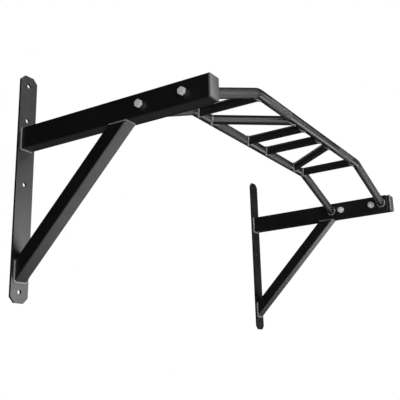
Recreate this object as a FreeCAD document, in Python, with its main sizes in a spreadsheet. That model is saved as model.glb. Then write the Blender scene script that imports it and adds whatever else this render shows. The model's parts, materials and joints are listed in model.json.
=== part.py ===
import FreeCAD, Part

import math
import os

import Sketcher
from FreeCAD import Placement, Rotation, Vector

# Wall-mounted pull-up bar. Two welded brackets, each a wall plate, a rectangular arm and a
# 45 degree brace, carry a raised frame of two bent bars and six cross grips. The bar frame is
# welded to a flat plate at each end, and each plate is bolted to the inner side of an arm.
#
# Frame: +Z is up, the wall is the plane Y = 0 and the bar reaches out along -Y. The origin
# lies on the wall, midway between the brackets, level with the centre holes of the plates.

DIMENSIONS = (
    # Wall plates
    ("bracket_spacing", 1300),
    ("plate_width", 58),
    ("plate_thickness", 6),
    ("plate_length", 620),
    ("plate_corner", 14),
    ("wall_hole_diameter", 12),
    ("wall_hole_margin", 28),
    ("upper_hole_height", 180),
    # Arms
    ("arm_reach", 600),
    ("arm_width", 40),
    ("arm_depth", 60),
    ("arm_wall", 3),
    ("arm_corner", 3),
    ("arm_height", 125),
    # Braces
    ("brace_size", 40),
    ("brace_wall", 2.5),
    ("brace_corner", 3),
    ("brace_run", 326),
    # Plastic caps in the open ends of the arms
    ("cap_head", 6),
    ("cap_bevel", 2.5),
    ("cap_plug_length", 18),
    ("cap_plug_gap", 1.2),
    ("cap_plug_wall", 2.4),
    ("cap_floor", 2),
    ("cap_rib_gap", 0.1),
    ("cap_rib_thickness", 1.6),
    ("cap_rib_pitch", 6),
    # Bars and grips
    ("bar_diameter", 28),
    ("bar_wall", 2.5),
    ("bar_reach", 463),
    ("bar_spacing", 204),
    ("bar_height", 220),
    ("bend_station", 372),
    ("bend_radius", 70),
    ("outer_grip_station", 352),
    ("inner_grip_station", 62),
    ("angled_grip_rear", 286),
    ("angled_grip_front", 127),
    # Plates at the ends of the bar frame
    ("end_plate_thickness", 5),
    ("end_plate_length", 250),
    ("end_plate_corner", 4),
    # M12 bolts, washers and nuts
    ("bolt_spacing", 124),
    ("bolt_diameter", 12),
    ("bolt_length", 65),
    ("bolt_tip", 1.2),
    ("bolt_hole_diameter", 13),
    ("thread_play", 0.1),
    ("hex_across_flats", 18),
    ("bolt_head_height", 7.5),
    ("nut_height", 10.8),
    ("washer_diameter", 24),
    ("washer_thickness", 2.5),
)

SIDES = (("left", -1), ("right", 1))
HEX_SIDES = 6
HEX_CHAMFER_START = 0.475
# Sizes that a sketch is first drawn at, before its dimensions drive it, in mm
DRAWN_HALF = 9
DRAWN_RADIUS = 5
DRAWN_DISTANCE = 40
DRAWN_BRACE_NEAR = 30
DRAWN_BRACE_FAR = 50
X_DIR = Vector(1, 0, 0)
Y_DIR = Vector(0, 1, 0)
Z_DIR = Vector(0, 0, 1)
TOLERANCE = 1e-6
LEAST_CUT = 1

doc = FreeCAD.newDocument("pull_up_bar")
sheet = doc.addObject("Spreadsheet::Sheet", "Dims")
nodes = []


def fill_sheet():
    for row, (alias, value) in enumerate(DIMENSIONS, start=1):
        sheet.set("A%d" % row, alias)
        sheet.set("B%d" % row, str(value))
        sheet.setAlias("B%d" % row, alias)
    doc.recompute()


def size(alias):
    """One driving dimension, as the sheet holds it."""
    return float(getattr(sheet, alias))


def bind(item, **formulas):
    """Ties properties of an object to the sheet."""
    for name, formula in formulas.items():
        item.setExpression(name, formula)


def place(item, x="0", y="0", z="0", rotation=None):
    """Sets a sub-part's place, with coordinates that follow the sheet."""
    item.Placement = Placement(Vector(), rotation or Rotation())
    for axis, formula in zip("xyz", (x, y, z)):
        item.setExpression("Placement.Base." + axis, formula)


def node(item, name):
    """Names a finished sub-part, which makes it a file of its own."""
    item.Label = name
    nodes.append(item)
    return item


# Sketches


def origin_plane(body, role):
    return next(feature for feature in body.Origin.OriginFeatures if feature.Role == role)


def new_sketch(body, role, offset="0"):
    """A sketch on one of the body's origin planes, moved along its normal."""
    sketch = body.newObject("Sketcher::SketchObject", "Sketch")
    sketch.AttachmentSupport = [(origin_plane(body, role), "")]
    sketch.MapMode = "FlatFace"
    sketch.setExpression("AttachmentOffset.Base.z", offset)
    return sketch


def drive(sketch, kind, refs, start, formula):
    """Adds a dimension to a sketch and ties it to the sheet."""
    index = sketch.addConstraint(Sketcher.Constraint(kind, *refs, start))
    name = "size_%d" % index
    sketch.renameConstraint(index, name)
    sketch.setExpression("Constraints." + name, formula)


def closed_outline(sketch, points):
    """Draws straight edges through points, joined end to end, and returns their indices."""
    count = len(points)
    corners = [Vector(*point) for point in points]
    lines = [
        sketch.addGeometry(Part.LineSegment(corners[i], corners[(i + 1) % count]))
        for i in range(count)
    ]
    for i in range(count):
        sketch.addConstraint(Sketcher.Constraint("Coincident", lines[i], 2, lines[(i + 1) % count], 1))
    return lines


def rectangle(sketch, width, height):
    """A rectangle centred on the sketch's origin."""
    half = DRAWN_HALF
    corners = [(-half, -half), (half, -half), (half, half), (-half, half)]
    bottom, right, top, left = closed_outline(sketch, corners)
    for line in (bottom, top):
        sketch.addConstraint(Sketcher.Constraint("Horizontal", line))
    for line in (right, left):
        sketch.addConstraint(Sketcher.Constraint("Vertical", line))
    sketch.addConstraint(Sketcher.Constraint("Symmetric", bottom, 1, top, 1, -1, 1))
    drive(sketch, "DistanceX", (bottom, 1, bottom, 2), 2 * half, width)
    drive(sketch, "DistanceY", (right, 1, right, 2), 2 * half, height)


def circle(sketch, diameter, axis=None, along=1, distance=None):
    """A circle at the origin, or at a distance along a sketch axis (-1 across, -2 up)."""
    start = DRAWN_DISTANCE * along
    centre = Vector(start, 0) if axis == -1 else Vector(0, start) if axis == -2 else Vector()
    ring = sketch.addGeometry(Part.Circle(centre, Z_DIR, DRAWN_RADIUS))
    drive(sketch, "Diameter", (ring,), 2 * DRAWN_RADIUS, diameter)
    if axis is None:
        sketch.addConstraint(Sketcher.Constraint("Coincident", ring, 3, -1, 1))
        return
    sketch.addConstraint(Sketcher.Constraint("PointOnObject", ring, 3, axis))
    ends = (-1, 1, ring, 3) if along > 0 else (ring, 3, -1, 1)
    drive(sketch, "DistanceX" if axis == -1 else "DistanceY", ends, DRAWN_DISTANCE, distance)


# Features


def new_body(name):
    return doc.addObject("PartDesign::Body", name)


def pad(body, sketch, length, side="One side", reverse=False):
    feature = body.newObject("PartDesign::Pad", "Pad")
    feature.Profile = sketch
    feature.SideType = side
    feature.Reversed = reverse
    bind(feature, Length=length)
    doc.recompute()
    return feature


def pocket(body, sketch, length=None, side="One side", reverse=False):
    """Cuts a sketch out of the body, right through it unless a length is given."""
    before = body.Shape.Volume
    feature = body.newObject("PartDesign::Pocket", "Pocket")
    feature.Profile = sketch
    feature.SideType = side
    feature.Reversed = reverse
    if length:
        bind(feature, Length=length)
    else:
        feature.Type = "ThroughAll"
    doc.recompute()
    if body.Shape.Volume > before - LEAST_CUT:
        raise ValueError("a pocket in %s cuts nothing" % body.Label)
    return feature


def edges_along(shape, direction):
    """Names of the straight edges that run along a direction."""
    names = []
    for number, edge in enumerate(shape.Edges, start=1):
        start, end = (vertex.Point for vertex in edge.Vertexes[:2])
        run = end - start
        if run.Length > TOLERANCE and run.cross(direction).Length < TOLERANCE * run.Length:
            names.append("Edge%d" % number)
    return names


def edges_at_front(shape):
    """Names of the edges round the face that lies furthest out along -Y."""
    front = shape.BoundBox.YMin
    return [
        "Edge%d" % number
        for number, edge in enumerate(shape.Edges, start=1)
        if abs(edge.BoundBox.YMin - front) < TOLERANCE and edge.BoundBox.YLength < TOLERANCE
    ]


def dress(body, kind, base, edges, **formulas):
    """Rounds or bevels edges of the body's last feature."""
    feature = body.newObject("PartDesign::" + kind, kind)
    feature.Base = (base, edges)
    bind(feature, **formulas)
    doc.recompute()
    return feature


def bracket_x(side):
    return "%d * Dims.bracket_spacing / 2" % side


# Brackets


def wall_plate(name, side):
    """Flat bar with bevelled corners and four holes on its centre line."""
    body = new_body(name)
    outline = new_sketch(body, "XZ_Plane")
    rectangle(outline, "Dims.plate_width", "Dims.plate_length")
    blank = pad(body, outline, "Dims.plate_thickness")
    dress(body, "Chamfer", blank, edges_along(body.Shape, Y_DIR), Size="Dims.plate_corner")
    holes = new_sketch(body, "XZ_Plane")
    margin = "Dims.plate_length / 2 - Dims.wall_hole_margin"
    circle(holes, "Dims.wall_hole_diameter")
    circle(holes, "Dims.wall_hole_diameter", -2, 1, margin)
    circle(holes, "Dims.wall_hole_diameter", -2, -1, margin)
    circle(holes, "Dims.wall_hole_diameter", -2, 1, "Dims.upper_hole_height")
    pocket(body, holes, reverse=True)
    place(body, bracket_x(side))
    node(body, name)


def arm_tube(name, side):
    """Rectangular tube that stands straight out from the wall plate."""
    body = new_body(name)
    section = new_sketch(body, "XZ_Plane")
    rectangle(section, "Dims.arm_width", "Dims.arm_depth")
    bar = pad(body, section, "Dims.arm_reach - Dims.plate_thickness - Dims.cap_head")
    dress(body, "Fillet", bar, edges_along(body.Shape, Y_DIR), Radius="Dims.arm_corner")
    bore = new_sketch(body, "XZ_Plane")
    rectangle(bore, "Dims.arm_width - 2 * Dims.arm_wall", "Dims.arm_depth - 2 * Dims.arm_wall")
    pocket(body, bore, reverse=True)
    holes = new_sketch(body, "YZ_Plane")
    for sign in "+-":
        station = "Dims.bar_reach - Dims.plate_thickness %s Dims.bolt_spacing / 2" % sign
        circle(holes, "Dims.bolt_hole_diameter", -1, -1, station)
    pocket(body, holes, side="Symmetric")
    place(body, bracket_x(side), "-Dims.plate_thickness", "Dims.arm_height")
    node(body, name)


def mitred_outline(sketch, half_depth):
    """Side view of the brace: a 45 degree strip from the plate face up to the arm."""
    small, large = DRAWN_BRACE_NEAR, DRAWN_BRACE_FAR
    lines = closed_outline(sketch, [(0, -small), (0, -large), (-large, 0), (-small, 0)])
    near = "Dims.brace_run - " + half_depth
    far = "Dims.brace_run + " + half_depth
    for corner, axis in zip(range(4), (-2, -2, -1, -1)):
        sketch.addConstraint(Sketcher.Constraint("PointOnObject", lines[corner], 1, axis))
    drive(sketch, "DistanceY", (lines[0], 1, -1, 1), small, near)
    drive(sketch, "DistanceY", (lines[1], 1, -1, 1), large, far)
    drive(sketch, "DistanceX", (lines[2], 1, -1, 1), large, far)
    drive(sketch, "DistanceX", (lines[3], 1, -1, 1), small, near)


def brace_tube(name, side):
    """Square tube at 45 degrees, mitred to the wall plate and to the arm's underside."""
    body = new_body(name)
    outline = new_sketch(body, "YZ_Plane")
    mitred_outline(outline, "Dims.brace_size / sqrt(2)")
    bar = pad(body, outline, "Dims.brace_size", side="Symmetric")
    slope = Vector(0, -1, 1).normalize()
    dress(body, "Fillet", bar, edges_along(body.Shape, slope), Radius="Dims.brace_corner")
    bore = new_sketch(body, "YZ_Plane")
    mitred_outline(bore, "(Dims.brace_size / 2 - Dims.brace_wall) * sqrt(2)")
    pocket(body, bore, "Dims.brace_size - 2 * Dims.brace_wall", side="Symmetric")
    place(body, bracket_x(side), "-Dims.plate_thickness", "Dims.arm_height - Dims.arm_depth / 2")
    node(body, name)


def arm_end_cap(name, side):
    """Plastic cap: a bevelled head and a hollow ribbed plug that sits inside the arm."""
    body = new_body(name)
    face = new_sketch(body, "XZ_Plane")
    rectangle(face, "Dims.arm_width", "Dims.arm_depth")
    head = pad(body, face, "Dims.cap_head")
    rounded = dress(body, "Fillet", head, edges_along(body.Shape, Y_DIR), Radius="Dims.arm_corner")
    dress(body, "Chamfer", rounded, edges_at_front(body.Shape), Size="Dims.cap_bevel")
    inside = "Dims.%s - 2 * Dims.arm_wall - 2 * Dims.%s"
    plug = new_sketch(body, "XZ_Plane")
    rectangle(plug, inside % ("arm_width", "cap_plug_gap"), inside % ("arm_depth", "cap_plug_gap"))
    pad(body, plug, "Dims.cap_plug_length", reverse=True)
    for rib in (1, 2):
        ring = new_sketch(body, "XZ_Plane", "-%d * Dims.cap_rib_pitch" % rib)
        rectangle(ring, inside % ("arm_width", "cap_rib_gap"), inside % ("arm_depth", "cap_rib_gap"))
        pad(body, ring, "Dims.cap_rib_thickness", reverse=True)
    hollow = new_sketch(body, "XZ_Plane", "-Dims.cap_plug_length")
    wall = " - 2 * Dims.cap_plug_wall"
    rectangle(
        hollow,
        inside % ("arm_width", "cap_plug_gap") + wall,
        inside % ("arm_depth", "cap_plug_gap") + wall,
    )
    pocket(body, hollow, "Dims.cap_plug_length + Dims.cap_head - Dims.cap_floor", reverse=True)
    place(body, bracket_x(side), "-Dims.arm_reach + Dims.cap_head", "Dims.arm_height")
    node(body, name)


# Bar frame


def end_plate(name, side):
    """Flat plate that the two bars are welded to, bolted to the inner side of an arm."""
    body = new_body(name)
    outline = new_sketch(body, "YZ_Plane")
    rectangle(outline, "Dims.end_plate_length", "Dims.arm_depth")
    blank = pad(body, outline, "Dims.end_plate_thickness", reverse=side > 0)
    dress(body, "Chamfer", blank, edges_along(body.Shape, X_DIR), Size="Dims.end_plate_corner")
    holes = new_sketch(body, "YZ_Plane")
    for along in (-1, 1):
        circle(holes, "Dims.bolt_hole_diameter", -1, along, "Dims.bolt_spacing / 2")
    pocket(body, holes, side="Symmetric")
    inner_side = "%d * (Dims.bracket_spacing - Dims.arm_width) / 2" % side
    place(body, inner_side, "-Dims.bar_reach", "Dims.arm_height")
    node(body, name)


def half_bar_path(body):
    """Path of a bar from its middle outwards: level, one bend down, straight to the arm."""
    path = new_sketch(body, "XZ_Plane")
    station, top = size("bend_station"), size("bar_height")
    drop = top - size("arm_height")
    run = (size("bracket_spacing") - size("arm_width")) / 2 - station
    turn = math.atan2(drop, run)
    radius = size("bend_radius")
    setback = radius * math.tan(turn / 2)
    bend_in = Vector(station - setback, top)
    bend_out = Vector(station + setback * math.cos(turn), top - setback * math.sin(turn))
    corner = Vector(station, top)
    centre = Vector(station - setback, top - radius)
    level = path.addGeometry(Part.LineSegment(Vector(0, top), bend_in))
    arc_of = Part.Circle(centre, Z_DIR, radius)
    bend = path.addGeometry(Part.ArcOfCircle(arc_of, math.pi / 2 - turn, math.pi / 2))
    finish = Vector(station + run, top - drop)
    slope = path.addGeometry(Part.LineSegment(bend_out, finish))
    knee = path.addGeometry(Part.Point(corner), True)
    for constraint in (
        Sketcher.Constraint("PointOnObject", level, 1, -2),
        Sketcher.Constraint("Horizontal", level),
        Sketcher.Constraint("Tangent", level, 2, bend, 2),
        Sketcher.Constraint("Tangent", bend, 1, slope, 1),
        Sketcher.Constraint("PointOnObject", knee, 1, level),
        Sketcher.Constraint("PointOnObject", knee, 1, slope),
    ):
        path.addConstraint(constraint)
    drive(path, "Radius", (bend,), radius, "Dims.bend_radius")
    drive(path, "DistanceX", (-1, 1, knee, 1), station, "Dims.bend_station")
    drive(path, "DistanceY", (-1, 1, level, 1), top, "Dims.bar_height")
    half_gap = "(Dims.bracket_spacing - Dims.arm_width) / 2"
    drive(path, "DistanceX", (-1, 1, slope, 2), station + run, half_gap)
    drive(path, "DistanceY", (-1, 1, slope, 2), top - drop, "Dims.arm_height")
    return path


def bent_rod(name, diameter, reach):
    """Solid rod on the bars' path, made as one half and mirrored."""
    body = new_body(name)
    path = half_bar_path(body)
    section = new_sketch(body, "YZ_Plane")
    circle(section, diameter, -2, 1, "Dims.bar_height")
    doc.recompute()
    pipe = body.newObject("PartDesign::AdditivePipe", "Pipe")
    pipe.Profile = section
    pipe.Spine = (path, ["Edge1", "Edge2", "Edge3"])
    doc.recompute()
    mirror = body.newObject("PartDesign::Mirrored", "Mirror")
    mirror.Originals = [pipe]
    mirror.MirrorPlane = (origin_plane(body, "YZ_Plane"), [""])
    body.Tip = mirror
    place(body, y=reach)
    doc.recompute()
    return body


def boolean(kind, name, base, tool):
    item = doc.addObject("Part::" + kind, name)
    item.Base = base
    item.Tool = tool
    return item


def space_between_plates():
    """Block that fills the gap between the two end plates; it trims the bar ends."""
    block = doc.addObject("Part::Box", "between_plates")
    gap = "(Dims.bracket_spacing - Dims.arm_width - 2 * Dims.end_plate_thickness)"
    bind(block, Length=gap, Width="2 * Dims.arm_reach", Height="2 * Dims.bar_height")
    place(block, "-%s / 2" % gap, "-2 * Dims.arm_reach", "0")
    return block


def bent_bar(name, sign, block):
    """Bent tube, cut off flush with the end plates. Returns the rod that fits its outside."""
    reach = "-Dims.bar_reach %s Dims.bar_spacing / 2" % sign
    outside = bent_rod(name + "_outside", "Dims.bar_diameter", reach)
    inside = bent_rod(name + "_inside", "Dims.bar_diameter - 2 * Dims.bar_wall", reach)
    tube = boolean("Cut", name + "_tube", outside, inside)
    node(boolean("Common", name, tube, block), name)
    return outside


def rod_between(name, radius, rear, front):
    """Cylinder from the rear bar's axis to the front bar's, at the height of the bars."""
    rod = doc.addObject("Part::Cylinder", name)
    sideways = "(%s - %s)" % (front, rear)
    bind(rod, Radius=radius, Height="sqrt(%s * %s + Dims.bar_spacing ^ 2)" % (sideways, sideways))
    return rod


def grip(name, rear, front, sign, bars):
    """Cross grip: a tube coped at both ends to sit round the two bars."""
    swing = math.atan2(sign * (size(front) - size(rear)), size("bar_spacing"))
    turn = Rotation(Z_DIR, math.degrees(swing)).multiply(Rotation(X_DIR, 90))
    shape = None
    for part, radius in (
        ("outside", "Dims.bar_diameter / 2"),
        ("inside", "Dims.bar_diameter / 2 - Dims.bar_wall"),
    ):
        rod = rod_between("%s_%s" % (name, part), radius, "Dims." + rear, "Dims." + front)
        rear_y = "-Dims.bar_reach + Dims.bar_spacing / 2"
        place(rod, "%d * Dims.%s" % (sign, rear), rear_y, "Dims.bar_height", turn)
        shape = rod if shape is None else boolean("Cut", name + "_tube", shape, rod)
    for number, bar in enumerate(bars):
        shape = boolean("Cut", "%s_cope_%d" % (name, number), shape, bar)
    node(shape, name)


# Fasteners


def cylinder(name, radius, height, start="0"):
    item = doc.addObject("Part::Cylinder", name)
    bind(item, Radius=radius, Height=height)
    place(item, z=start)
    return item


def hexagon(name, height, start="0"):
    """Hexagonal prism along Z whose far corners are chamfered at 30 degrees."""
    prism = doc.addObject("Part::Prism", name + "_flats")
    prism.Polygon = HEX_SIDES
    bind(prism, Circumradius="Dims.hex_across_flats / sqrt(3)", Height=height)
    cone = doc.addObject("Part::Cone", name + "_chamfer")
    small = "Dims.hex_across_flats * %g" % HEX_CHAMFER_START
    bind(cone, Radius1="%s + %s * sqrt(3)" % (small, height), Radius2=small, Height=height)
    item = boolean("Common", name, prism, cone)
    place(item, z=start)
    return item


def bolt(name):
    """Hex bolt: the shank points along +Z from the underside of the head at Z = 0."""
    head = hexagon(name + "_head", "Dims.bolt_head_height")
    head.Placement = Placement(Vector(), Rotation(X_DIR, 180))
    radius = "(Dims.bolt_diameter - Dims.thread_play) / 2"
    shank = cylinder(name + "_shank", radius, "Dims.bolt_length - Dims.bolt_tip")
    tip = doc.addObject("Part::Cone", name + "_tip")
    bind(tip, Radius1=radius, Radius2=radius + " - Dims.bolt_tip", Height="Dims.bolt_tip")
    place(tip, z="Dims.bolt_length - Dims.bolt_tip")
    item = doc.addObject("Part::MultiFuse", name)
    item.Shapes = [head, shank, tip]
    return item


def washer(name):
    disc = cylinder(name + "_disc", "Dims.washer_diameter / 2", "Dims.washer_thickness")
    hole = cylinder(name + "_hole", "Dims.bolt_hole_diameter / 2", "Dims.washer_thickness")
    return boolean("Cut", name, disc, hole)


def nut(name):
    body = hexagon(name + "_hexagon", "Dims.nut_height")
    hole = cylinder(name + "_hole", "Dims.bolt_diameter / 2", "Dims.nut_height")
    return boolean("Cut", name, body, hole)


def fasteners(side_name, side):
    """Two bolts through arm and end plate, each with two washers and a nut."""
    inward = Rotation(Z_DIR, Vector(-side, 0, 0))
    outer_face = "%d * (Dims.bracket_spacing + Dims.arm_width) / 2" % side
    inner_face = "%d * ((Dims.bracket_spacing - Dims.arm_width) / 2 - Dims.end_plate_thickness)" % side
    step = "%d * Dims.washer_thickness" % side
    kinds = (
        ("bolts", bolt, ((outer_face + " + " + step),)),
        ("washers", washer, ((outer_face + " + " + step), inner_face)),
        ("nuts", nut, ((inner_face + " - " + step),)),
    )
    stations = ["-Dims.bar_reach %s Dims.bolt_spacing / 2" % sign for sign in "+-"]
    for kind, make, starts in kinds:
        copies = []
        for station in stations:
            for start in starts:
                item = make("%s_%s_%d" % (side_name, kind, len(copies)))
                place(item, start, station, "Dims.arm_height", inward)
                copies.append(item)
        group = doc.addObject("Part::Compound", "%s_%s" % (side_name, kind))
        group.Links = copies
        node(group, group.Name)


# The whole object


def build():
    for side_name, side in SIDES:
        wall_plate(side_name + "_wall_plate", side)
        arm_tube(side_name + "_arm_tube", side)
        brace_tube(side_name + "_brace_tube", side)
        arm_end_cap(side_name + "_arm_end_cap", side)
        end_plate(side_name + "_end_plate", side)
        fasteners(side_name, side)
    block = space_between_plates()
    bars = [bent_bar("rear_bar", "+", block), bent_bar("front_bar", "-", block)]
    for side_name, side in SIDES:
        grip(side_name + "_outer_grip", "outer_grip_station", "outer_grip_station", side, bars)
        grip(side_name + "_angled_grip", "angled_grip_rear", "angled_grip_front", side, bars)
        grip(side_name + "_inner_grip", "inner_grip_station", "inner_grip_station", side, bars)
    doc.recompute()


def check():
    for item in doc.Objects:
        if "Invalid" in item.State or "Error" in item.State:
            raise ValueError("%s failed: %s" % (item.Label, item.State))
    for item in nodes:
        shape = item.Shape
        if shape.isNull() or not shape.isValid() or not shape.Solids:
            raise ValueError("%s has no valid solid" % item.Label)


def write():
    os.makedirs("parts", exist_ok=True)
    for item in nodes:
        item.Shape.exportStep("parts/%s.step" % item.Label)
        print("%-22s %d solid(s) %9.1f mm3" % (item.Label, len(item.Shape.Solids), item.Shape.Volume))


fill_sheet()
build()
check()
write()
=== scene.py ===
import json
import math
from contextlib import contextmanager

import bmesh
import bpy
from mathutils import Matrix, Vector


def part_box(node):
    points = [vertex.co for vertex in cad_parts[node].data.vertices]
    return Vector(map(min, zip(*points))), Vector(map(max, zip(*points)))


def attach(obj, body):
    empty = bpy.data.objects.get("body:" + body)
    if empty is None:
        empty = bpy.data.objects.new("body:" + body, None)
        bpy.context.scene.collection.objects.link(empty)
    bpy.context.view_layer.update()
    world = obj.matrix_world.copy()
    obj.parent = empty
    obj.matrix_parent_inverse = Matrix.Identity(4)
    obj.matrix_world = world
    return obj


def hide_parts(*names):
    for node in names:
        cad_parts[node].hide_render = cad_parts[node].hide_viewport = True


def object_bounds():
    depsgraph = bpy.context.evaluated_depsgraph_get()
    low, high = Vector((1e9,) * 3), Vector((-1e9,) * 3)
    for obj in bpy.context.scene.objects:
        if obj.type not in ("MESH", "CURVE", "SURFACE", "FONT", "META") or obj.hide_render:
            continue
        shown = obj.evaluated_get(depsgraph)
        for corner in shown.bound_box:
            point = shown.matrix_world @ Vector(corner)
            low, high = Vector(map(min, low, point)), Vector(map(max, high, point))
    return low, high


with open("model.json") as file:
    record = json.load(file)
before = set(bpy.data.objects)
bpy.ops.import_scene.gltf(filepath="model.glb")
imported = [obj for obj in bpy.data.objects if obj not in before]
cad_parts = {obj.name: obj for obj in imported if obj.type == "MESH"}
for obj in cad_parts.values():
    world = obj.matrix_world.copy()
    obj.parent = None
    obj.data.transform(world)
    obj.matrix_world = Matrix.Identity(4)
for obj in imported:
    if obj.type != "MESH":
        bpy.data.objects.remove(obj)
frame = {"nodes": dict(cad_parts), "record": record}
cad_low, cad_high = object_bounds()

# Finishes and fine details of a wall-mounted pull-up bar: weld beads round every welded joint,
# knurled lengths on both bars, bolt threads, broken edges, powder coat, zinc plate and
# moulded caps. All lengths are in metres, and all angles named here are in degrees.

ACROSS, OUT, UP = 0, 1, 2
SIDES = (("left", -1), ("right", 1))

# Closeness: of a point to a plane that it lies on, of points that are joined up, and the
# angle between faces that make up one flat face
TOUCH = 0.0004
MERGE_WITHIN = 0.00001
FLAT_WITHIN = 0.5

# Bars: tube radius, and distances from the middle at which the level part ends
# and at which each grip meets the rear and front bars
BAR_RADIUS = 0.014
BEND_STATION = 0.372
GRIP_STATIONS = {"outer": (0.352, 0.352), "angled": (0.286, 0.127), "inner": (0.062, 0.062)}


# Camera: lens and sensor in millimetres, shifts in widths of the picture

CAMERA_AT = (-1.8807, -1.3307, -0.5278)
CAMERA_BEARING = 30.206
CAMERA_RISE = 16.170
CAMERA_ROLL = -2.057
CAMERA_LENS = 61.753
CAMERA_SENSOR = 36
CAMERA_SHIFT = (-0.0605, -0.0321)


def toward(bearing, rise):
    """Unit vector at a bearing (0 is along +X, 90 along +Y) and a rise, in degrees."""
    bearing, rise = math.radians(bearing), math.radians(rise)
    level = math.cos(rise)
    return Vector((level * math.cos(bearing), level * math.sin(bearing), math.sin(rise)))


def camera():
    """Stands in front of the left bracket, below the arms, and looks up along the bars."""
    ahead = toward(CAMERA_BEARING, CAMERA_RISE)
    roll = math.radians(CAMERA_ROLL)
    level = ahead.cross(Vector((0, 0, 1))).normalized()
    over = level.cross(ahead)
    right = level * math.cos(roll) + over * math.sin(roll)
    top = over * math.cos(roll) - level * math.sin(roll)
    lens = bpy.data.cameras.new("camera")
    lens.sensor_width = CAMERA_SENSOR
    lens.lens = CAMERA_LENS
    lens.shift_x, lens.shift_y = CAMERA_SHIFT
    lens.clip_start = 0.05
    lens.clip_end = 200
    item = bpy.data.objects.new("camera", lens)
    bpy.context.scene.collection.objects.link(item)
    turn = Matrix((right, top, -ahead)).transposed().to_4x4()
    item.matrix_world = Matrix.Translation(CAMERA_AT) @ turn
    bpy.context.scene.camera = item


# Finishes

# Strength of reflections in every finish but the zinc, where 0.5 is the usual
GLOSS = 1.0


class Socket:
    """An output in a finish's node tree. Arithmetic on it adds Math nodes."""

    def __init__(self, finish, output):
        self.finish = finish
        self.output = output

    def sum(self, operation, first, second):
        return self.finish.add("ShaderNodeMath", {"operation": operation}, {0: first, 1: second})

    def __add__(self, other):
        return self.sum("ADD", self, other)

    def __mul__(self, other):
        return self.sum("MULTIPLY", self, other)

    __radd__ = __add__
    __rmul__ = __mul__


class Finish:
    """A surface finish: one material with its own node tree."""

    def __init__(self, name):
        self.material = bpy.data.materials.new(name)
        self.material.use_nodes = True
        self.tree = self.material.node_tree
        self.tree.nodes.clear()

    def add(self, kind, settings, sockets, output=0):
        """Adds a node: its settings first, then the values or links of its sockets."""
        node = self.tree.nodes.new(kind)
        for name, value in settings.items():
            if name == "stops":
                ramp = node.color_ramp
                while len(ramp.elements) < len(value):
                    ramp.elements.new(1)
                for element, (position, level) in zip(ramp.elements, value):
                    element.position = position
                    element.color = (level, level, level, 1)
            else:
                setattr(node, name, value)
        for key, value in sockets.items():
            if isinstance(value, Socket):
                self.tree.links.new(value.output, node.inputs[key])
            else:
                node.inputs[key].default_value = value
        return Socket(self, node.outputs[output])

    def place(self, scale=(1, 1, 1), turn=(0, 0, 0)):
        """Object coordinates, stretched or turned."""
        spot = self.add("ShaderNodeTexCoord", {}, {}, "Object")
        return self.add("ShaderNodeMapping", {}, {"Vector": spot, "Scale": scale, "Rotation": turn})

    def noise(self, spot, per_metre, detail=2.0, roughness=0.5):
        return self.add(
            "ShaderNodeTexNoise",
            {"noise_dimensions": "3D"},
            {"Vector": spot, "Scale": per_metre, "Detail": detail, "Roughness": roughness},
        )

    def ramp(self, level, *stops):
        return self.add("ShaderNodeValToRGB", {"stops": stops}, {0: level})

    def blend(self, amount, low, high):
        """Mixes two greys or colours."""
        return self.add(
            "ShaderNodeMix", {"data_type": "RGBA"}, {0: amount, 6: grey(low), 7: grey(high)}, 2
        )

    def bump(self, height, depth):
        """Raised detail, depth metres high where height is 1."""
        return self.add(
            "ShaderNodeBump", {}, {"Height": height, "Distance": depth, "Strength": 1.0}
        )

    def surface(self, **sockets):
        """The shader itself, which every finish ends in."""
        named = {
            name.replace("_", " ").title().replace("Ior", "IOR"): value
            for name, value in sockets.items()
        }
        shader = self.add("ShaderNodeBsdfPrincipled", {}, named)
        output = self.tree.nodes.new("ShaderNodeOutputMaterial")
        self.tree.links.new(shader.output, output.inputs["Surface"])
        return self.material


def grey(level):
    """A grey as a colour, or a colour or link as it is."""
    return (level, level, level, 1) if isinstance(level, float) else level


def powder_coat():
    """Semi-gloss black powder coat: fine orange peel, cloudy sheen and a few dust specks."""
    finish = Finish("black_powder_coat")
    spot = finish.place()
    clouds = finish.noise(spot, 14.0, 3.0)
    rubbed = finish.noise(finish.place((1, 1, 0.25)), 45.0, 4.0, 0.6)
    peel = finish.noise(spot, 520.0, 1.0)
    grain = finish.noise(spot, 2400.0, 2.0)
    dust = finish.ramp(finish.noise(spot, 900.0, 2.0), (0.70, 0.0), (0.78, 1.0))
    colour = finish.blend(clouds, 0.003, 0.005)
    return finish.surface(
        base_color=finish.blend(dust * 0.2, colour, 0.03),
        roughness=0.27 + clouds * 0.10 + rubbed * 0.09 + dust * 0.15,
        normal=finish.bump(peel * 0.8 + grain * 0.2, 0.00014),
        specular_ior_level=GLOSS,
    )


def bar_coat():
    """Satin black coat of the bars and grips, with a faint streaky sheen."""
    finish = Finish("bar_coat")
    spot = finish.place()
    clouds = finish.noise(spot, 22.0, 3.0)
    handled = finish.noise(finish.place((0.4, 1, 1)), 80.0, 3.0, 0.6)
    peel = finish.noise(spot, 620.0, 1.0)
    return finish.surface(
        base_color=finish.blend(clouds, 0.003, 0.006),
        roughness=0.28 + clouds * 0.08 + handled * 0.08,
        normal=finish.bump(peel, 0.00007),
        specular_ior_level=GLOSS,
    )


def knurl_coat():
    """The same coat over knurling: a little lighter and rougher."""
    finish = Finish("knurl_coat")
    spot = finish.place()
    clouds = finish.noise(spot, 30.0, 3.0)
    grain = finish.noise(spot, 1800.0, 2.0)
    return finish.surface(
        base_color=finish.blend(clouds, 0.010, 0.020),
        roughness=0.34 + clouds * 0.08 + grain * 0.08,
        normal=finish.bump(grain, 0.00004),
        specular_ior_level=GLOSS,
    )


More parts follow.
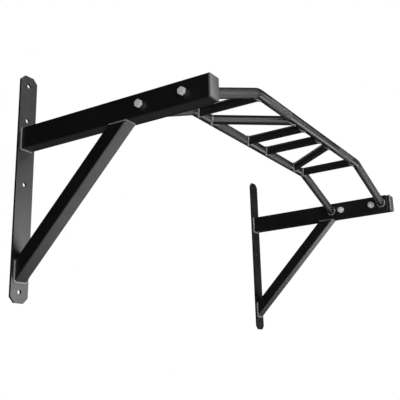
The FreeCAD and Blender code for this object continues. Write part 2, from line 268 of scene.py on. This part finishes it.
def weld_coat():
    """Powder coat over weld bead with painted highlight: a mid-grey base stands in for light on the
    ripples; uneven gloss and small spatter grains.
    """
    finish = Finish("weld_coat")
    spot = finish.place()
    clouds = finish.noise(spot, 60.0, 3.0)
    spatter = finish.ramp(finish.noise(spot, 700.0, 2.0), (0.62, 0.0), (0.72, 1.0))
    return finish.surface(
        # Painted highlight: this grey, far lighter than the black coat, stands in for light caught on
        # the bead's ripples
        base_color=finish.blend(clouds, 0.10, 0.18),
        roughness=0.20 + clouds * 0.12,
        normal=finish.bump(spatter * 0.6 + clouds * 0.4, 0.0003),
        specular_ior_level=GLOSS,
    )


def cap_plastic():
    """Moulded plastic of the end caps: fine spark texture and faint flow marks."""
    finish = Finish("cap_plastic")
    spot = finish.place()
    spark = finish.noise(spot, 1500.0, 3.0, 0.6)
    flow = finish.noise(finish.place((1, 1, 0.3)), 60.0, 3.0)
    return finish.surface(
        base_color=finish.blend(flow, 0.034, 0.050),
        roughness=0.42 + flow * 0.10 + spark * 0.06,
        normal=finish.bump(spark, 0.00006),
        specular_ior_level=GLOSS,
    )


def zinc_plate():
    """Bright zinc plate of bolts, nuts and washers: brushed sheen and dull patches."""
    finish = Finish("zinc_plate")
    spot = finish.place()
    patches = finish.noise(spot, 180.0, 4.0, 0.6)
    brushed = finish.noise(finish.place((1, 1, 0.08)), 2600.0, 2.0)
    return finish.surface(
        base_color=finish.blend(patches, 0.50, 0.74),
        metallic=0.45,
        roughness=0.50 + patches * 0.16 + brushed * 0.08,
        normal=finish.bump(brushed * 0.7 + patches * 0.3, 0.00005),
    )


# Modelling


def only(item):
    """Makes one object the selected and active one."""
    bpy.ops.object.select_all(action="DESELECT")
    item.select_set(True)
    bpy.context.view_layer.objects.active = item


@contextmanager
def editing(item):
    """Edit mode on one object, for as long as the block lasts."""
    only(item)
    bpy.ops.object.mode_set(mode="EDIT")
    yield
    bpy.ops.object.mode_set(mode="OBJECT")


def choose(item, test, kind="VERT"):
    """In edit mode, selects the points or edges that pass a test, and nothing else."""
    bpy.ops.mesh.select_mode(type=kind)
    bpy.ops.mesh.select_all(action="DESELECT")
    mesh = bmesh.from_edit_mesh(item.data)
    for part in {"VERT": mesh.verts, "EDGE": mesh.edges}[kind]:
        if test(part):
            part.select_set(True)
    mesh.select_flush_mode()
    bmesh.update_edit_mesh(item.data)


def settle(item):
    """Puts the object's place into its mesh."""
    only(item)
    bpy.ops.object.transform_apply(location=True, rotation=True, scale=True)


def merge_points():
    """In edit mode, joins up points that coincide."""
    bpy.ops.mesh.select_all(action="SELECT")
    bpy.ops.mesh.remove_doubles(threshold=MERGE_WITHIN)


def face_outwards():
    """In edit mode, turns every face outwards."""
    bpy.ops.mesh.select_all(action="SELECT")
    bpy.ops.mesh.normals_make_consistent(inside=False)


def smoothed(item, degrees):
    """Smooth shading, except over edges sharper than an angle."""
    only(item)
    bpy.ops.object.shade_smooth_by_angle(angle=math.radians(degrees))


def start(name, primitive, stretch=(1, 1, 1), **settings):
    """Adds a primitive at its place and size, and names it."""
    bpy.ops.object.select_all(action="DESELECT")
    primitive(**settings)
    item = bpy.context.object
    item.scale = stretch
    item.name = name
    item.data.name = name
    settle(item)
    return item


def modified(item, kind, **settings):
    """Adds a modifier and applies it."""
    only(item)
    modifier = item.modifiers.new(kind.lower(), kind)
    for key, value in settings.items():
        setattr(modifier, key, value)
    bpy.ops.object.modifier_apply(modifier=modifier.name)


def copied(item, name, matrix):
    """A copy with its own mesh, moved, turned or mirrored."""
    twin = item.copy()
    twin.data = item.data.copy()
    twin.name = name
    twin.data.name = name
    bpy.context.scene.collection.objects.link(twin)
    twin.data.transform(matrix)
    if matrix.determinant() < 0:
        with editing(twin):
            face_outwards()
    return twin


def fitted(item, finish):
    """Gives a finished piece its slot, its finish and the body that it rides on."""
    item.data.materials.clear()
    item.data.materials.append(finish)
    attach(item, "root")


MIRROR = Matrix.Diagonal((-1, 1, 1, 1))


def on_side(side, matrix):
    """A place given for the right side, mirrored where the side is the left."""
    return MIRROR @ matrix if side < 0 else matrix


def points_at(node, axis, at):
    """Lowest and highest corner of a node's points on a plane square to an axis."""
    points = [vert.co for vert in frame["nodes"][node].data.vertices]
    found = [point for point in points if abs(point[axis] - at) < TOUCH]
    low = Vector([min(point[i] for point in found) for i in range(3)])
    high = Vector([max(point[i] for point in found) for i in range(3)])
    return low, high


# Parts that stand in for CAD ones: which are flat, the width of a broken edge, the least angle
# of an edge that is broken, and the angles up to which shading is smooth

FLAT_PARTS = ("wall_plate", "end_plate", "arm_end_cap")
EDGE_BREAK = 0.0008
BREAK_OVER = 35
PLATE_SMOOTH = 20
ROUND_SMOOTH = 30


def merged(node, name):
    """A copy of a CAD part with its faces joined up, in place of the CAD one."""
    item = bpy.data.objects.new(name, frame["nodes"][node].data.copy())
    item.data.name = name
    bpy.context.scene.collection.objects.link(item)
    with editing(item):
        merge_points()
        bpy.ops.mesh.dissolve_limited(angle_limit=math.radians(FLAT_WITHIN))
        face_outwards()
    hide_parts(node)
    return item


def softened(node):
    """A flat part with its sharp edges broken."""
    item = merged(node, node + "_softened")
    modified(
        item,
        "BEVEL",
        width=EDGE_BREAK,
        segments=2,
        limit_method="ANGLE",
        angle_limit=math.radians(BREAK_OVER),
    )
    smoothed(item, PLATE_SMOOTH)
    return item


def washers(node, finishes):
    """Splits the washers: those under the bolt heads have the arm's coat, the others bare zinc."""
    arm_middle = (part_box("right_arm_tube")[0][ACROSS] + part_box("right_arm_tube")[1][ACROSS]) / 2
    for place, slot_name, wanted in (
        ("head", "black_powder_coat", lambda vert: abs(vert.co.x) > arm_middle),
        ("nut", "zinc_plate", lambda vert: abs(vert.co.x) < arm_middle),
    ):
        item = merged(node, "%s_by_%s" % (node, place))
        with editing(item):
            choose(item, lambda vert: not wanted(vert))
            bpy.ops.mesh.delete(type="VERT")
        smoothed(item, ROUND_SMOOTH)
        fitted(item, finishes[slot_name])


# Welds: ripples, bead radii, and how far a bead's middle lies inside its tube's outline

RIPPLE_PITCH = 0.0016
RIPPLE_LOW = 0.80
PLATE_BEAD = 0.0040
BRACE_HEAD_BEAD = 0.0018
BAR_BEAD = 0.0034
GRIP_BEAD = 0.0031
BEAD_INSET = 0.0005
GRIP_INSET = 0.0004

# A grip's ring is pressed from a distance on to a form, which is a slightly thicker length of
# bar, and comes out longer than a flat circle
FORM_SKIN = 0.0003
FORM_LENGTH = 0.2
FORM_AROUND = 192
FORM_DISTANCE = 0.06
SADDLE_STRETCH = 1.2


def even(length):
    """An even number of ripple steps that fills a length."""
    return max(4, 2 * round(length / RIPPLE_PITCH / 2))


def bead(ring, thickness):
    """Swells a closed ring of edges into a weld bead, rippled at every other point."""
    only(ring)
    bpy.ops.object.convert(target="CURVE")
    ring.data.bevel_depth = thickness
    ring.data.bevel_resolution = 2
    for spline in ring.data.splines:
        for number, point in enumerate(spline.points):
            point.radius = RIPPLE_LOW if number % 2 else 1.0
    bpy.ops.object.convert(target="MESH")
    with editing(ring):
        merge_points()
        face_outwards()
    bpy.ops.object.shade_smooth()
    return ring


def turned_to(axis):
    """Turn that lays a flat primitive square to an axis."""
    return {ACROSS: (0, math.pi / 2, 0), OUT: (math.pi / 2, 0, 0), UP: (0, 0, 0)}[axis]


def box_ring(name, node, axis, at):
    """Ring of edges round a rectangular tube where it meets a flat face."""
    low, high = points_at(node, axis, at)
    middle, span = (low + high) / 2, high - low
    sides = [i for i in range(3) if i != axis]
    width, depth = (span[i] - 2 * BEAD_INSET for i in sides)
    ring = start(
        name,
        bpy.ops.mesh.primitive_grid_add,
        x_subdivisions=even(width),
        y_subdivisions=even(depth),
        size=1,
        stretch=(width, depth, 1),
        rotation=turned_to(axis),
        location=middle,
    )

    def at_corner(vert):
        return all(
            abs(abs(vert.co[i] - middle[i]) - (span[i] / 2 - BEAD_INSET)) < TOUCH for i in sides
        )

    with editing(ring):
        choose(ring, lambda vert: not vert.is_boundary)
        bpy.ops.mesh.delete(type="VERT")
        choose(ring, at_corner)
        bpy.ops.mesh.vertices_smooth(factor=0.9, repeat=1)
        choose(ring, lambda vert: True)
        bpy.ops.mesh.vertices_smooth(factor=0.5, repeat=2)
    return ring


def round_ring(name, node, axis, at):
    """Ring of edges round a round tube where it meets a flat face at a slant."""
    low, high = points_at(node, axis, at)
    middle, span = (low + high) / 2, high - low
    tall, wide = (span[i] / 2 - BEAD_INSET for i in (UP, OUT))
    return start(
        name,
        bpy.ops.mesh.primitive_circle_add,
        vertices=even(math.pi * (tall + wide)),
        radius=1,
        fill_type="NOTHING",
        stretch=(tall, wide, 1),
        rotation=turned_to(axis),
        location=middle,
    )


def saddle_ring(name, swing):
    """Ring round the end of a cross grip, pressed on to a bar that runs along X at the origin."""
    radius = BAR_RADIUS - GRIP_INSET
    upright = Matrix.Rotation(math.pi / 2, 4, "X")
    away = Matrix.Rotation(swing, 4, "Z") @ Matrix.Translation((0, -FORM_DISTANCE, 0)) @ upright
    form = start(
        "form",
        bpy.ops.mesh.primitive_cylinder_add,
        vertices=FORM_AROUND,
        radius=BAR_RADIUS + FORM_SKIN,
        depth=FORM_LENGTH,
        rotation=(0, math.pi / 2, 0),
    )
    bpy.ops.object.select_all(action="DESELECT")
    bpy.ops.mesh.primitive_circle_add(
        vertices=even(2 * math.pi * radius * SADDLE_STRETCH), radius=radius, fill_type="NOTHING"
    )
    ring = bpy.context.object
    ring.name = name
    ring.matrix_world = away
    modified(
        ring,
        "SHRINKWRAP",
        target=form,
        wrap_method="PROJECT",
        use_project_z=True,
        use_negative_direction=True,
        use_positive_direction=False,
    )
    settle(ring)
    bpy.data.objects.remove(form)
    return ring


def welds(finish):
    """Beads where arms, braces and bars meet plates and arms, and at every grip."""
    wall_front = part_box("left_arm_tube")[1][OUT]
    under_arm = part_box("left_arm_tube")[0][UP]
    bar_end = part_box("front_bar")[0][ACROSS]
    made = []
    for joint, part, axis, at, size in (
        ("arm", "arm_tube", OUT, wall_front, PLATE_BEAD),
        ("brace_foot", "brace_tube", OUT, wall_front, PLATE_BEAD),
        ("brace_head", "brace_tube", UP, under_arm, BRACE_HEAD_BEAD),
    ):
        ring = box_ring("left_%s_weld" % joint, "left_" + part, axis, at)
        made.append((bead(ring, size), "black_powder_coat"))
    for bar in ("front_bar", "rear_bar"):
        ring = round_ring("left_%s_weld" % bar, bar, ACROSS, bar_end)
        made.append((bead(ring, BAR_BEAD), "bar_coat"))
    for item, slot_name in made:
        twin = copied(item, item.name.replace("left", "right"), MIRROR)
        fitted(item, finish)
        fitted(twin, finish)
    grip_welds(finish)


def grip_welds(finish):
    """Beads round both ends of every cross grip."""
    front, rear = (bar_axis(name) for name in ("front_bar", "rear_bar"))
    gap = rear.y - front.y
    half_turn = Matrix.Rotation(math.pi, 4, "Z")
    for kind, (at_rear, at_front) in GRIP_STATIONS.items():
        swing = math.atan2(at_front - at_rear, gap)
        pattern = bead(saddle_ring(kind + "_weld", swing), GRIP_BEAD)
        for side_name, side in SIDES:
            for end, axis, station, turn in (
                ("rear", rear, at_rear, Matrix.Identity(4)),
                ("front", front, at_front, half_turn),
            ):
                place = Matrix.Translation((side * station, axis.y, axis.z)) @ on_side(side, turn)
                name = "%s_%s_%s_weld" % (side_name, kind, end)
                fitted(copied(pattern, name, place), finish)
        bpy.data.objects.remove(pattern)


def bar_axis(name):
    """Middle of a bar's level part."""
    low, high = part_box(name)
    return Vector((0, (low.y + high.y) / 2, high.z - BAR_RADIUS))


# Knurling: steps round the bar, heights of the raised points, how far the sleeve stands off the
# bar, how far sloped lengths keep from their ends, and where level lengths begin and end

KNURL_AROUND = 64
LEVEL_KNURL_HEIGHT = 0.00018
END_KNURL_HEIGHT = 0.00009
KNURL_SKIN = 0.00008
KNURL_SETBACK = 0.022
LEVEL_KNURLS = {"front": (0.180, 0.312), "rear": (0.080, 0.250)}


def knurl(name, length, height):
    """Knurled sleeve with rows of small raised diamonds, along X and centred at the origin."""
    radius = BAR_RADIUS + KNURL_SKIN
    pitch = 2 * math.pi * radius / KNURL_AROUND
    steps = round(length / pitch)
    sleeve = start(
        name,
        bpy.ops.mesh.primitive_cylinder_add,
        vertices=KNURL_AROUND,
        radius=radius,
        depth=steps * pitch,
        end_fill_type="NOTHING",
        rotation=(0, math.pi / 2, 0),
    )
    half = steps * pitch / 2

    def lengthwise(edge):
        return abs(edge.verts[0].co.x - edge.verts[1].co.x) > half

    def raised(vert):
        if abs(abs(vert.co.x) - half) < TOUCH:
            return False
        row = round((vert.co.x + half) / pitch)
        column = round(math.atan2(vert.co.z, vert.co.y) / (2 * math.pi) * KNURL_AROUND)
        return (row + column) % 2 == 0

    with editing(sleeve):
        choose(sleeve, lengthwise, "EDGE")
        bpy.ops.mesh.subdivide_edgering(number_cuts=steps - 1, interpolation="LINEAR")
        choose(sleeve, raised)
        bpy.ops.transform.shrink_fatten(value=height)
        bpy.ops.mesh.select_all(action="SELECT")
        bpy.ops.mesh.quads_convert_to_tris(quad_method="SHORTEST_DIAGONAL")
        choose(sleeve, lambda edge: edge.is_boundary, "EDGE")
        bpy.ops.mesh.extrude_region()
        inner = 1 - 2 * height / radius
        bpy.ops.transform.resize(value=(1, inner, inner), center_override=(0, 0, 0))
        bpy.ops.mesh.bridge_edge_loops()
        face_outwards()
    return sleeve


def between(first, second):
    """Place of something made along X, for it to lie from one point towards another."""
    turn = (second - first).to_track_quat("X", "Z").to_matrix().to_4x4()
    return Matrix.Translation((first + second) / 2) @ turn


def knurls(finish):
    """Knurled lengths of both bars, level and sloped."""
    for bar, (inner, outer) in LEVEL_KNURLS.items():
        axis = bar_axis(bar + "_bar")
        first, second = (Vector((station, axis.y, axis.z)) for station in (inner, outer))
        low, high = points_at(bar + "_bar", ACROSS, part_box(bar + "_bar")[1][ACROSS])
        corner = Vector((BEND_STATION, axis.y, axis.z))
        end = (low + high) / 2
        level = knurl("level", outer - inner, LEVEL_KNURL_HEIGHT)
        slope = knurl("slope", (end - corner).length - 2 * KNURL_SETBACK, END_KNURL_HEIGHT)
        both(level, bar + "_knurl", between(first, second), finish)
        both(slope, bar + "_end_knurl", between(corner, end), finish)


def both(pattern, name, place, finish):
    """Puts a pattern in its place on the right side and its mirror image on the left."""
    for side_name, side in SIDES:
        fitted(copied(pattern, side_name + "_" + name, on_side(side, place)), finish)
    bpy.data.objects.remove(pattern)


# Bolt threads: pitch, radius and depth of the ridge, how far it keeps from the bolt's tip, turns,
# steps in a turn, and how far the ridge spreads along the bolt

THREAD_PITCH = 0.00175
THREAD_ROOT = 0.0056
THREAD_DEPTH = 0.00065
THREAD_SETBACK = 0.0016
THREAD_TURNS = 2
THREAD_STEPS = 40
RIDGE_SPREAD = 2


def threads(finish):
    """Helical thread on the end of every bolt, from inside its nut to its bevelled tip."""
    # A triangle with a corner outwards is one and a half of its circle's radii high.
    ridge = THREAD_DEPTH / 1.5
    pattern = start(
        "thread",
        bpy.ops.mesh.primitive_circle_add,
        vertices=3,
        radius=ridge,
        fill_type="NOTHING",
        stretch=(RIDGE_SPREAD, 1, 1),
        rotation=(math.pi / 2, 0, 0),
        location=(0, 0, THREAD_ROOT + ridge / 2),
    )
    modified(
        pattern,
        "SCREW",
        axis="X",
        angle=2 * math.pi,
        screw_offset=THREAD_PITCH,
        iterations=THREAD_TURNS,
        steps=THREAD_STEPS,
        render_steps=THREAD_STEPS,
    )
    with editing(pattern):
        merge_points()
        bpy.ops.mesh.fill_holes(sides=3)
        face_outwards()
    smoothed(pattern, ROUND_SMOOTH)
    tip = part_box("right_bolts")[0][ACROSS]
    low, high = points_at("right_bolts", ACROSS, tip)
    radius, height = (high.z - low.z) / 2, (high.z + low.z) / 2
    for end, along in (("front", low.y + radius), ("rear", high.y - radius)):
        for side_name, side in SIDES:
            turn = Matrix.Rotation(math.pi, 4, "Z") if side < 0 else Matrix.Identity(4)
            place = Matrix.Translation((side * (tip + THREAD_SETBACK), along, height)) @ turn
            name = "%s_%s_thread" % (side_name, end)
            fitted(copied(pattern, name, place), finish)
    bpy.data.objects.remove(pattern)


# Stage

FLOOR_SIZE = 80
FLOOR_DROP = 1.75
LAMP_DISTANCE = 3
# The surroundings as the part sees them, and as the camera does
DIM, WHITE = (0.004, 0.004, 0.004, 1), (1, 1, 1, 1)


def floor_finish():
    """Pale matt floor with a faint mottle."""
    finish = Finish("pale_floor")
    mottle = finish.noise(finish.place(), 0.8, 3.0)
    return finish.surface(
        base_color=finish.blend(mottle, 0.86, 0.90),
        roughness=0.9,
        emission_color=finish.blend(mottle, 0.96, 1.0),
        emission_strength=0.90,
    )


def floor():
    """Plain floor below the part, which the shiny coats don't mirror."""
    item = start(
        "floor",
        bpy.ops.mesh.primitive_plane_add,
        size=FLOOR_SIZE,
        location=(0, (cad_low.y + cad_high.y) / 2, cad_low.z - FLOOR_DROP),
    )
    item.data.materials.append(floor_finish())
    item.visible_glossy = False


def softbox(name, bearing, rise, size, power):
    """Soft square lamp that faces the part's middle and is hidden from the camera; power in watts."""
    lamp = bpy.data.lights.new(name, "AREA")
    lamp.shape = "SQUARE"
    lamp.size = size
    lamp.energy = power
    item = bpy.data.objects.new(name, lamp)
    bpy.context.scene.collection.objects.link(item)
    away = toward(bearing, rise)
    middle = (cad_low + cad_high) / 2
    turn = away.to_track_quat("Z", "Y").to_matrix().to_4x4()
    item.matrix_world = Matrix.Translation(middle + away * LAMP_DISTANCE) @ turn
    item.visible_camera = False


def studio():
    """White to the camera and nearly dark to the part, which the lamps and the floor light."""
    world = bpy.data.worlds.new("studio")
    world.use_nodes = True
    bpy.context.scene.world = world
    nodes, links = world.node_tree.nodes, world.node_tree.links
    nodes.clear()
    path = nodes.new("ShaderNodeLightPath")
    dim, white = nodes.new("ShaderNodeBackground"), nodes.new("ShaderNodeBackground")
    dim.inputs["Color"].default_value = DIM
    white.inputs["Color"].default_value = WHITE
    mix = nodes.new("ShaderNodeMixShader")
    output = nodes.new("ShaderNodeOutputWorld")
    links.new(path.outputs["Is Camera Ray"], mix.inputs[0])
    links.new(dim.outputs[0], mix.inputs[1])
    links.new(white.outputs[0], mix.inputs[2])
    links.new(mix.outputs[0], output.inputs["Surface"])
    softbox("low_right", -24, -25, 1.2, 16)
    softbox("under_right", -24, -50, 1.2, 7.8)
    softbox("front", -68, 0, 1.2, 25)
    softbox("front_right", -50, 6, 0.9, 7.3)
    softbox("front_high", -90, 25, 1.2, 55)
    softbox("left_fill", 225, 15, 1.5, 21)
    softbox("left_low", 225, -18, 1.5, 17)
    softbox("left_under", 225, -50, 1.5, 18)
    softbox("low_back", 45, -25, 1.5, 0.73)
    softbox("back", 75, 50, 1.5, 14)
    bpy.context.scene.view_settings.view_transform = "Standard"


def dress_nodes(finishes):
    """Gives every CAD part the finish of its slot, and breaks the sharp edges of the flat ones."""
    for part in frame["record"]["subparts"]:
        name, slot_name = part["node"], part["material_slot"]
        item = frame["nodes"][name]
        if name.endswith(FLAT_PARTS):
            fitted(softened(name), finishes[slot_name])
        elif name.endswith("washers"):
            washers(name, finishes)
        elif item.material_slots:
            for place in item.material_slots:
                place.material = finishes[slot_name]
        else:
            item.data.materials.append(finishes[slot_name])


def main():
    """Builds the camera, the stage and every piece, and finishes the CAD parts."""
    camera()
    floor()
    studio()
    finishes = {
        "black_powder_coat": powder_coat(),
        "bar_coat": bar_coat(),
        "cap_plastic": cap_plastic(),
        "zinc_plate": zinc_plate(),
    }
    welds(weld_coat())
    knurls(knurl_coat())
    threads(finishes["zinc_plate"])
    dress_nodes(finishes)


main()
